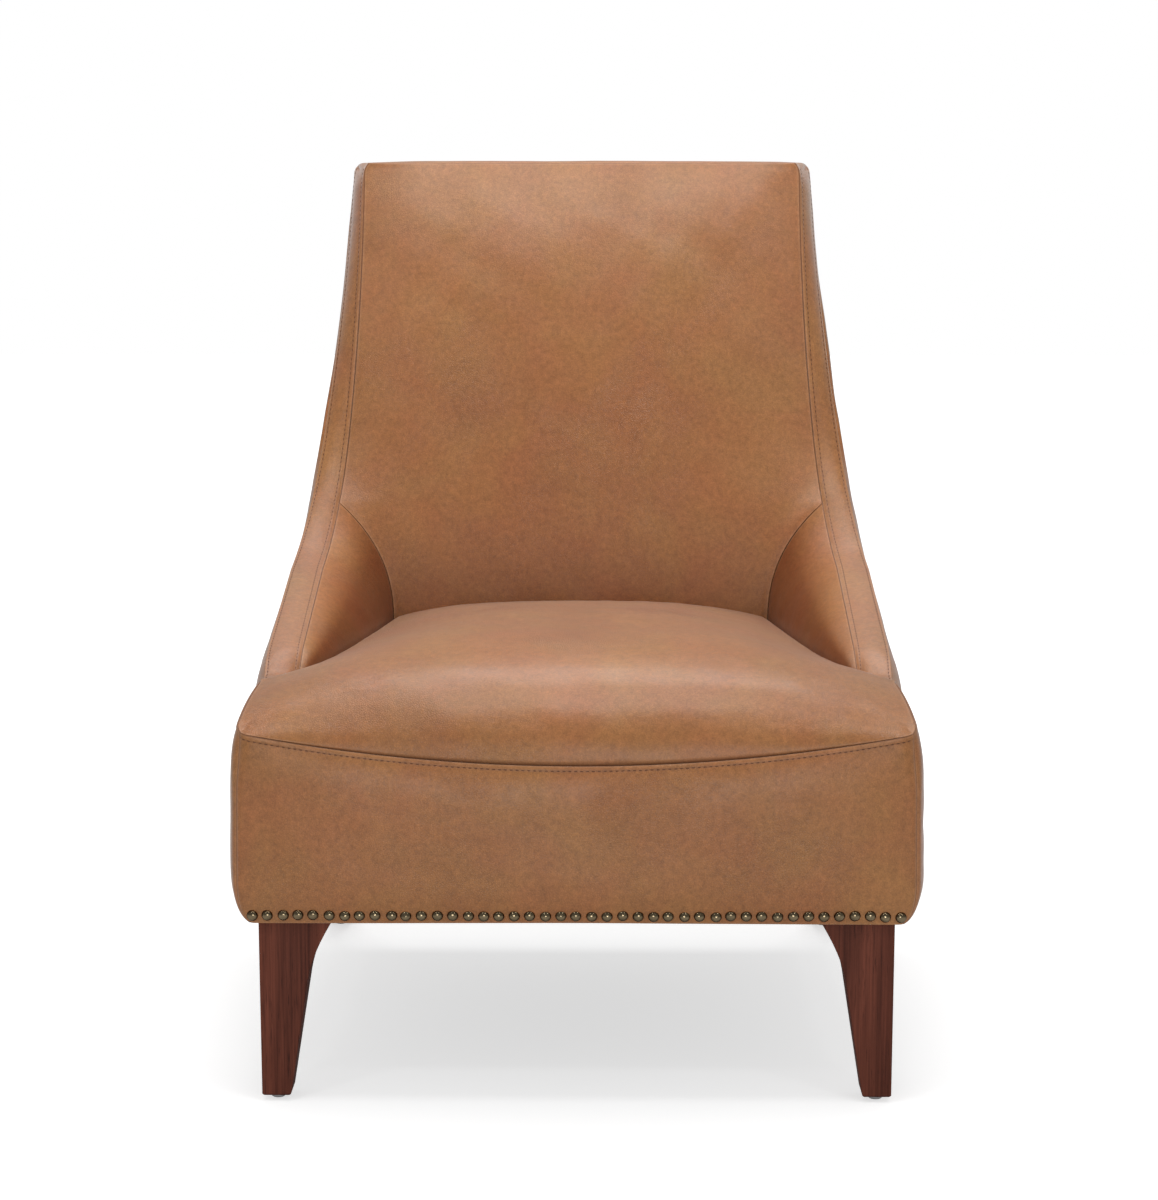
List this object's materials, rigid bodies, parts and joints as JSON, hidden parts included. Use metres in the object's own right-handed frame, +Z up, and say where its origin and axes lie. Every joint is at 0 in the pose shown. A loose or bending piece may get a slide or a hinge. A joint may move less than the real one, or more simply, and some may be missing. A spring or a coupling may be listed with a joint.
{
  "type": "high-back lounge chair",
  "caption": "Upholstered lounge chair: high raked back whose side wings sweep down into low sloping arms, tight seat with front lobes, nailed front edge, tapered wooden legs.",
  "frame": {"origin": "on the floor, under the middle of the chair's bounding box", "axes": "+Z up, -Y towards the front of the seat, +X towards the chair's right when it is seen from the front"},
  "size_m": [0.7224, 0.768, 0.983],
  "materials": {
    "leather": "tan aniline leather, mottled, fine grain, satin",
    "foam": "cut polyurethane foam, matt, open cells",
    "hardwood": "plain sawn beech, unfinished",
    "plywood": "birch plywood, unfinished",
    "stained_wood": "hardwood, dark red-brown stain, satin lacquer",
    "spring_steel": "drawn spring wire and pressed clips, dull grey",
    "bolt_steel": "zinc-plated steel",
    "felt": "needled felt, grey, matt",
    "webbing": "woven jute and rubber strap, matt",
    "black_cloth": "thin black lining cloth, matt",
    "glide_plastic": "light grey polyethylene",
    "nail_brass": "antique brass, dark in the hollows, of the nail heads on front_panel_cover",
    "thread": "waxed brown thread of the topstitching"
  },
  "bodies": {
    "root": {"arm_foam_left": "foam", "arm_foam_right": "foam", "arm_panel_left": "plywood", "arm_panel_right": "plywood", "back_foam": "foam", "back_post_left": "hardwood", "back_post_right": "hardwood", "back_web_1": "webbing", "back_web_2": "webbing", "back_web_3": "webbing", "back_web_4": "webbing", "corner_block_front_left": "hardwood", "corner_block_front_right": "hardwood", "corner_block_rear_left": "hardwood", "corner_block_rear_right": "hardwood", "crest_rail": "hardwood", "dust_cover": "black_cloth", "front_leg_left": "stained_wood", "front_leg_right": "stained_wood", "front_pad": "foam", "front_panel_cover": "leather", "front_rail": "hardwood", "glide_front_left": "glide_plastic", "glide_front_right": "glide_plastic", "glide_rear_left": "glide_plastic", "glide_rear_right": "glide_plastic", "inside_arm_cover_left": "leather", "inside_arm_cover_right": "leather", "inside_back_cover": "leather", "leg_bolt_front_left": "bolt_steel", "leg_bolt_front_right": "bolt_steel", "leg_bolt_rear_left": "bolt_steel", "leg_bolt_rear_right": "bolt_steel", "lower_back_rail": "hardwood", "outside_back_cover": "leather", "rear_leg_left": "stained_wood", "rear_leg_right": "stained_wood", "rear_rail": "hardwood", "seat_cover": "leather", "seat_felt": "felt", "seat_foam": "foam", "seat_spring_1": "spring_steel", "seat_spring_2": "spring_steel", "seat_spring_3": "spring_steel", "seat_spring_4": "spring_steel", "seat_spring_5": "spring_steel", "side_cover_left": "leather", "side_cover_right": "leather", "side_padding_left": "foam", "side_padding_right": "foam", "side_rail_left": "hardwood", "side_rail_right": "hardwood", "top_border": "leather", "wing_border_left": "leather", "wing_border_right": "leather"}
  },
  "joints": []
}
